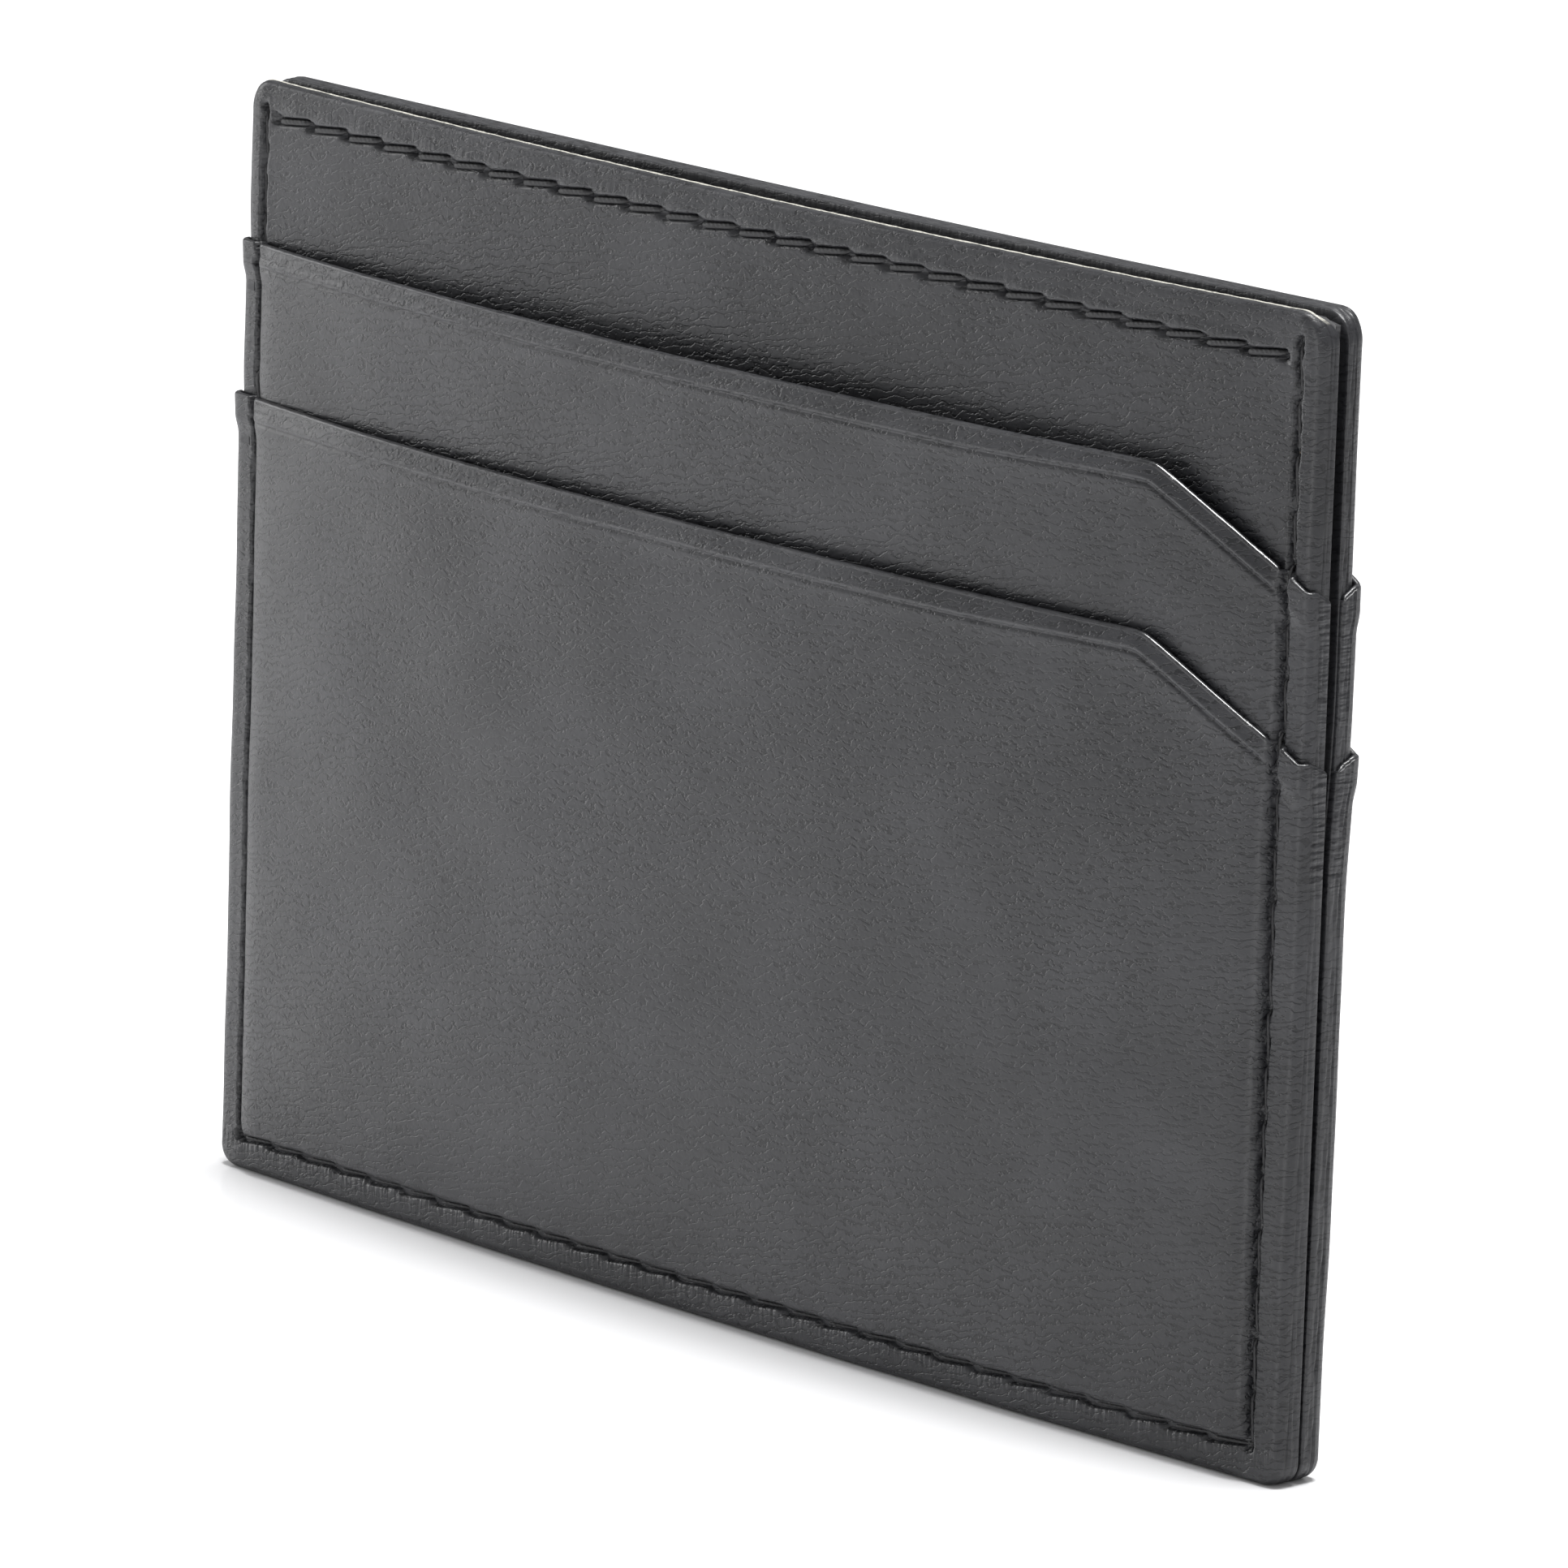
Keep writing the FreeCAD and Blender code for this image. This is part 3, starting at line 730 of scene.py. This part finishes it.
def joiningSeam(half):
    places = []
    length = seam["high"] - seam["low"]
    pitch = length / seam["sideCount"]
    for side in (-1, 1):
        x = side * seam["half"]
        for number in range(seam["sideCount"]):
            z = seam["low"] + pitch * (number + 0.5)
            kind = "panel"
            if z - 0.4 < mouthLine(upperSize, x):
                kind = "upper"
            if z - 0.4 < mouthLine(lowerSize, x):
                kind = "lower"
            places.append(onSurface(x, z, lambda px, pz, k=kind: smoothDepth(k, px), half,
                                    thread["seamRadius"], True))
    pitch = 2 * seam["half"] / seam["bottomCount"]
    for number in range(seam["bottomCount"]):
        x = -seam["half"] + pitch * (number + 0.5)
        places.append(onSurface(x, seam["low"], lambda px, pz: smoothDepth("lower", px), half,
                                thread["seamRadius"], False))
    return places


def hemRow(half, inside):
    places = []
    pitch = 2 * seam["hemHalf"] / seam["hemCount"]
    depthOf = (lambda px, pz: 0.5 + 0 * px) if inside else (lambda px, pz: smoothDepth("hem", px))
    for number in range(1 if inside else 0, seam["hemCount"] - (1 if inside else 0)):
        x = -seam["hemHalf"] + pitch * (number + 0.5)
        lift = thread["radius"] * (0.4 if inside else 0.2)
        places.append(onSurface(x, float(hemLine(x)), depthOf, half, lift, False, inside))
    return places


floorRow = {"half": 43, "pitch": 3.44, "height": 13.8, "count": 25}


def pocketFloorRow(half):
    side = 1 if half == "front" else -1
    depthOf = lambda px, pz: upperDepth(px, pz, side)
    return [onSurface(-floorRow["half"] + floorRow["pitch"] * (number + 0.5), floorRow["height"], depthOf,
                      half, 0.0, False)
            for number in range(floorRow["count"])]


# ---- finishes

class Flow:
    def __init__(self, tree, socket=None):
        self.tree, self.socket = tree, socket

    def add(self, kind, settings=None, sockets=None, out=0):
        node = self.tree.nodes.new(kind)
        for key, value in (settings or {}).items():
            setattr(node, key, value)
        for key, value in (sockets or {}).items():
            if isinstance(value, Flow):
                self.tree.links.new(value.socket, node.inputs[key])
            else:
                node.inputs[key].default_value = value
        self.node = node
        return Flow(self.tree, node.outputs[out]) if len(node.outputs) else node

    def maths(self, operation, first, second=None):
        sockets = {0: first}
        if second is not None:
            sockets[1] = second
        return self.add("ShaderNodeMath", {"operation": operation}, sockets)

    def __add__(self, other): return self.maths("ADD", self, other)
    def __radd__(self, other): return self.maths("ADD", other, self)
    def __sub__(self, other): return self.maths("SUBTRACT", self, other)
    def __rsub__(self, other): return self.maths("SUBTRACT", other, self)
    def __mul__(self, other): return self.maths("MULTIPLY", self, other)
    def __rmul__(self, other): return self.maths("MULTIPLY", other, self)

    def between(self, low, high):
        return self.add("ShaderNodeMapRange", {"interpolation_type": "SMOOTHSTEP"},
                        {"Value": self, "From Min": low, "From Max": high})

    def scaled(self, factors):
        return self.add("ShaderNodeVectorMath", {"operation": "MULTIPLY"}, {0: self, 1: factors})

    def mixed(self, other, share):
        node = self.tree.nodes.new("ShaderNodeMix")
        node.data_type = "RGBA"
        for socket, value in ((node.inputs[0], share), (node.inputs[6], self), (node.inputs[7], other)):
            if isinstance(value, Flow):
                self.tree.links.new(value.socket, socket)
            else:
                socket.default_value = value
        return Flow(self.tree, node.outputs[2])


def newFinish(name):
    finish = bpy.data.materials.new(name)
    finish.use_nodes = True
    finish.node_tree.nodes.clear()
    return finish, Flow(finish.node_tree)


def finishOff(flow, shaderSockets):
    shader = flow.add("ShaderNodeBsdfPrincipled", None, shaderSockets)
    flow.add("ShaderNodeOutputMaterial", None, {"Surface": shader})


def inMillimetres(flow):
    coordinates = flow.add("ShaderNodeTexCoord", None, None, "Object")
    return coordinates.scaled((1000.0, 1000.0, 1000.0))


leatherLook = {
    "dark": (0.0035, 0.0037, 0.005, 1.0),
    "light": (0.027, 0.0275, 0.031, 1.0),
    "worn": (0.045, 0.045, 0.046, 1.0),
    "raw": (0.38, 0.37, 0.33, 1.0),
    "roughness": 0.4,
    "specular": 0.45,
    "grain": 1.0,
    "grainHeight": 0.075,      # millimetres
    "wrinkles": 0.3,           # share of each kind of mark in the grain
    "furrows": 0.34,
    "pebbles": 0.22,
    "pores": 0.05,
    "furrowTilt": 0.2,         # radians; the furrows rise a little towards the cut corners
    "furrowScale": 0.54,
}


def calfLeather():
    look = leatherLook
    finish, flow = newFinish("calfLeather")
    place = inMillimetres(flow)
    warp = flow.add("ShaderNodeTexNoise", None, {"Vector": place, "Scale": 0.5, "Detail": 2.0}, "Color")
    shift = flow.add("ShaderNodeVectorMath", {"operation": "MULTIPLY_ADD"},
                     {0: warp, 1: (1.2, 1.2, 1.2), 2: place})
    pebble = flow.add("ShaderNodeTexVoronoi", {"feature": "SMOOTH_F1"},
                      {"Vector": shift.scaled((3.2, 3.2, 4.2)), "Scale": 1.0, "Smoothness": 0.6}, "Distance")
    wrinkles = flow.add("ShaderNodeTexNoise", None,
                        {"Vector": shift.scaled((0.8, 1.2, 1.9)), "Scale": 1.0, "Detail": 2.0,
                         "Roughness": 0.5}, "Fac")
    tilted = flow.add("ShaderNodeVectorRotate", {"rotation_type": "Y_AXIS"},
                      {"Vector": place, "Angle": look["furrowTilt"]})
    ripple = flow.add("ShaderNodeTexWave", {"wave_type": "BANDS", "bands_direction": "Z"},
                      {"Vector": tilted.scaled((0.55, 0.55, 1.0)), "Scale": look["furrowScale"],
                       "Distortion": 11.0, "Detail": 3.0,
                       "Detail Scale": 2.4, "Detail Roughness": 0.6}, "Fac")
    furrow = 1.0 - ripple.between(0.0, 0.4)                  # thin wavy lines that run mostly across
    pores = flow.add("ShaderNodeTexVoronoi", {"feature": "F1"},
                     {"Vector": shift.scaled((3.4, 3.4, 2.2)), "Scale": 1.0}, "Distance")
    pore = 1.0 - pores.between(0.04, 0.2)
    patch = flow.add("ShaderNodeTexNoise", None, {"Vector": place, "Scale": 0.06, "Detail": 3.0}, "Fac")
    strong = patch.between(0.35, 0.65) * 0.5 + 0.5          # the grain is tighter in some places
    turned = flow.add("ShaderNodeAttribute", {"attribute_name": "turned"}, None, "Fac")
    height = wrinkles * look["wrinkles"] - furrow * look["furrows"] - pebble * look["pebbles"] \
        - pore * look["pores"]
    height = height * strong * (1.0 - turned * 0.6)
    streaks = flow.add("ShaderNodeTexNoise", None,
                       {"Vector": place.scaled((0.5, 3.4, 0.14)), "Scale": 1.0, "Detail": 2.0}, "Fac")
    height = height + streaks * turned * 0.9
    for mark, factors in (("uprightPleats", (3.2, 0.5, 0.45)), ("crossPleats", (0.45, 0.5, 3.2))):
        amount = flow.add("ShaderNodeAttribute", {"attribute_name": mark}, None, "Fac")
        pleats = flow.add("ShaderNodeTexNoise", None,
                          {"Vector": place.scaled(factors), "Scale": 1.0, "Detail": 1.0}, "Fac")
        height = height + pleats * amount * 1.5
    bump = flow.add("ShaderNodeBump", None, {"Height": height, "Strength": look["grain"],
                                             "Distance": look["grainHeight"] * mm}, "Normal")
    cloud = flow.add("ShaderNodeTexNoise", None, {"Vector": place, "Scale": 0.11, "Detail": 4.0}, "Fac")
    dark = flow.add("ShaderNodeRGB", None, None)
    flow.node.outputs[0].default_value = look["dark"]
    paleness = cloud.between(0.3, 0.75) * 0.5 + (1.0 - pebble) * 0.2 + 0.2 - furrow * strong * 0.6
    colour = dark.mixed(look["light"], paleness)
    colour = colour.mixed(look["worn"], turned * streaks.between(0.5, 0.85) * 0.4)
    colour = colour.mixed((0.003, 0.003, 0.004, 1.0), pore * 0.8)
    raw = flow.add("ShaderNodeAttribute", {"attribute_name": "rawEdge"}, None, "Fac")
    crumbs = flow.add("ShaderNodeTexNoise", None, {"Vector": place, "Scale": 4.0, "Detail": 3.0}, "Fac")
    colour = colour.mixed(look["raw"], raw.between(0.3, 0.7) * (crumbs.between(0.25, 0.6) * 0.6 + 0.4))
    polish = flow.add("ShaderNodeAttribute", {"attribute_name": "polished"}, None, "Fac")
    shine = polish * crumbs.between(0.2, 0.5)
    rough = look["roughness"] - shine * 0.15 + (cloud - 0.5) * 0.1 + (wrinkles - 0.5) * 0.12 + turned * 0.02
    finishOff(flow, {"Base Color": colour, "Roughness": rough, "Normal": bump,
                     "Specular IOR Level": look["specular"], "Coat Weight": shine, "Coat Roughness": 0.16})
    return finish


def wovenCloth(name, dark, light, pitch):
    finish, flow = newFinish(name)
    place = inMillimetres(flow)
    split = flow.add("ShaderNodeSeparateXYZ", None, {0: place})
    x, z = split, Flow(flow.tree, flow.node.outputs[2])
    turn = 2 * math.pi / pitch
    warpThread = flow.maths("SINE", x * turn)
    weftThread = flow.maths("SINE", z * turn)
    weave = (warpThread * weftThread) * 0.5 + 0.5
    fuzz = flow.add("ShaderNodeTexNoise", None, {"Vector": place, "Scale": 3.0, "Detail": 3.0}, "Fac")
    bump = flow.add("ShaderNodeBump", None, {"Height": weave + fuzz * 0.4, "Strength": 0.35,
                                             "Distance": 0.03 * mm}, "Normal")
    base = flow.add("ShaderNodeRGB", None, None)
    flow.node.outputs[0].default_value = dark
    finishOff(flow, {"Base Color": base.mixed(light, weave * 0.6 + fuzz * 0.4), "Normal": bump,
                     "Roughness": 0.7 + fuzz * 0.15, "Sheen Weight": 0.15})
    return finish


def fibreBoard():
    finish, flow = newFinish("fibreBoard")
    place = inMillimetres(flow)
    fibres = flow.add("ShaderNodeTexNoise", None, {"Vector": place.scaled((0.6, 0.6, 2.5)), "Scale": 1.0,
                                                   "Detail": 5.0}, "Fac")
    base = flow.add("ShaderNodeRGB", None, None)
    flow.node.outputs[0].default_value = (0.30, 0.24, 0.18, 1.0)
    bump = flow.add("ShaderNodeBump", None,
                    {"Height": fibres, "Strength": 0.4, "Distance": 0.05 * mm}, "Normal")
    finishOff(flow, {"Base Color": base.mixed((0.42, 0.35, 0.27, 1.0), fibres.between(0.3, 0.7)),
                     "Normal": bump, "Roughness": 0.75 + fibres * 0.15})
    return finish


def sewingThread():
    finish, flow = newFinish("sewingThread")
    place = inMillimetres(flow)
    split = flow.add("ShaderNodeSeparateXYZ", None, {0: place})
    x, y, z = split, Flow(flow.tree, flow.node.outputs[1]), Flow(flow.tree, flow.node.outputs[2])
    ply = flow.maths("SINE", (x + y + z) * 14.0)               # two plies laid round each other
    fuzz = flow.add("ShaderNodeTexNoise", None, {"Vector": place, "Scale": 6.0, "Detail": 2.0}, "Fac")
    bump = flow.add("ShaderNodeBump", None, {"Height": ply * 0.25 + fuzz * 0.6, "Strength": 0.6,
                                             "Distance": 0.04 * mm}, "Normal")
    base = flow.add("ShaderNodeRGB", None, None)
    flow.node.outputs[0].default_value = (0.007, 0.007, 0.008, 1.0)
    finishOff(flow, {"Base Color": base.mixed((0.024, 0.024, 0.026, 1.0), fuzz.between(0.35, 0.75)),
                     "Normal": bump, "Roughness": 0.55 + fuzz * 0.1})
    return finish


# ---- build it

leather = calfLeather()
liningCloth = wovenCloth("liningCloth", (0.012, 0.012, 0.014, 1.0), (0.022, 0.022, 0.025, 1.0), 0.34)
pocketCloth = wovenCloth("pocketCloth", (0.02, 0.02, 0.022, 1.0), (0.045, 0.045, 0.05, 1.0), 0.4)
board = fibreBoard()
threadFinish = sewingThread()
tree = stitchTree()


def settle(piece, finish, slotName, *nodes):
    piece.data.materials.clear()
    piece.data.materials.append(finish)
    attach(piece, "root")
    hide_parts(*nodes)


for half in ("front", "back"):
    settle(buildPanel(half), leather, "calf_leather", half + "_panel")
    for layer in ("upper", "lower"):
        settle(buildPocket(half, layer), leather, "calf_leather", half + "_" + layer + "_pocket")
    inside = buildInside(half)
    settle(inside["lining"], liningCloth, "lining_cloth", half + "_lining")
    settle(inside["stiffener"], board, "stiffener_board", half + "_stiffener")
    settle(inside["upper_pocket_lining"], pocketCloth, "pocket_cloth", half + "_upper_pocket_lining")
    settle(inside["lower_pocket_lining"], pocketCloth, "pocket_cloth", half + "_lower_pocket_lining")
    settle(sew(half + "HemStitches", hemRow(half, False), threadFinish, tree), threadFinish,
           "sewing_thread", half + "_hem_thread")
    settle(sew(half + "HemInsideStitches", hemRow(half, True), threadFinish, tree), threadFinish,
           "sewing_thread", half + "_hem_bobbin_thread")
    settle(sew(half + "PocketFloorStitches", pocketFloorRow(half), threadFinish, tree), threadFinish,
           "sewing_thread", half + "_pocket_floor_thread")
    print("card holder:", half, "half built")

for half, node in (("front", "seam_needle_thread"), ("back", "seam_bobbin_thread")):
    stitches = sew(half + "JoiningStitches", joiningSeam(half), threadFinish, tree, thread["seamSlant"],
                   thread["seamRadius"])
    settle(stitches, threadFinish, "sewing_thread", node)
print("card holder: sewn")


# ---- floor, light and camera

studio = {
    "worldStrength": 0.46,
    "floorColour": (0.86, 0.86, 0.87, 1.0),
    "floorReach": 6.0,
    "aim": (0, 0, 0.04),
    "lamps": {                 # place, width, height in metres, and watts
        "overheadSoftbox": ((0.05, 0.05, 1.1), 0.45, 0.45, 24),
        "leftSoftbox": ((-1.25, -0.45, 0.35), 0.4, 0.9, 7.4),
        "frontSoftbox": ((0.35, -1.4, 0.2), 0.5, 0.3, 3.0),
    },
}
viewpoint = {                  # angles in degrees, distances in millimetres
    "azimuth": 46.256,
    "elevation": 12.909,
    "roll": 1.894,
    "distance": 879.54,
    "sideways": -2.212,
    "upwards": -34.810,
    "lens": 16527.0 / 1932 * 36.0,
    "sensor": 36.0,
}


def buildFloor():
    mesh = bpy.data.meshes.new("floor")
    reach = studio["floorReach"]
    mesh.from_pydata([(-reach, -reach, 0), (reach, -reach, 0), (reach, reach, 0), (-reach, reach, 0)], [],
                     [(0, 1, 2, 3)])
    floor = bpy.data.objects.new("floor", mesh)
    bpy.context.scene.collection.objects.link(floor)
    finish, flow = newFinish("paleFloor")
    finishOff(flow, {"Base Color": studio["floorColour"], "Roughness": 0.12, "Specular IOR Level": 0.35})
    floor.data.materials.append(finish)


def softLight(name, location, width, height, power):
    light = bpy.data.lights.new(name, "AREA")
    light.shape, light.size, light.size_y = "RECTANGLE", width, height
    light.energy = power
    lamp = bpy.data.objects.new(name, light)
    lamp.location = location
    lamp.rotation_euler = (Vector(studio["aim"]) - Vector(location)).to_track_quat("-Z", "Y").to_euler()
    bpy.context.scene.collection.objects.link(lamp)


def buildCamera():
    azimuth, elevation, roll = (math.radians(viewpoint[a]) for a in ("azimuth", "elevation", "roll"))
    right = Vector((math.cos(azimuth), math.sin(azimuth), 0))
    back = Vector((math.sin(azimuth) * math.cos(elevation), -math.cos(azimuth) * math.cos(elevation),
                   math.sin(elevation)))
    up = back.cross(right)
    rolledRight = right * math.cos(roll) + up * math.sin(roll)
    rolledUp = up * math.cos(roll) - right * math.sin(roll)
    view = bpy.data.cameras.new("camera")
    view.sensor_width = viewpoint["sensor"]
    view.lens = viewpoint["lens"]
    camera = bpy.data.objects.new("camera", view)
    place = (back * viewpoint["distance"] - rolledRight * viewpoint["sideways"]
             - rolledUp * viewpoint["upwards"]) * mm
    turn = Matrix((rolledRight, rolledUp, back)).transposed().to_4x4()
    camera.matrix_world = Matrix.Translation(place) @ turn
    bpy.context.scene.collection.objects.link(camera)
    bpy.context.scene.camera = camera


buildFloor()
for lampName, lampSettings in studio["lamps"].items():
    softLight(lampName, *lampSettings)
world = bpy.data.worlds.new("studio")
world.use_nodes = True
world.node_tree.nodes["Background"].inputs["Color"].default_value = (1, 1, 1, 1)
world.node_tree.nodes["Background"].inputs["Strength"].default_value = studio["worldStrength"]
bpy.context.scene.world = world
bpy.context.scene.view_settings.view_transform = "Standard"
buildCamera()
print("card holder: studio set")
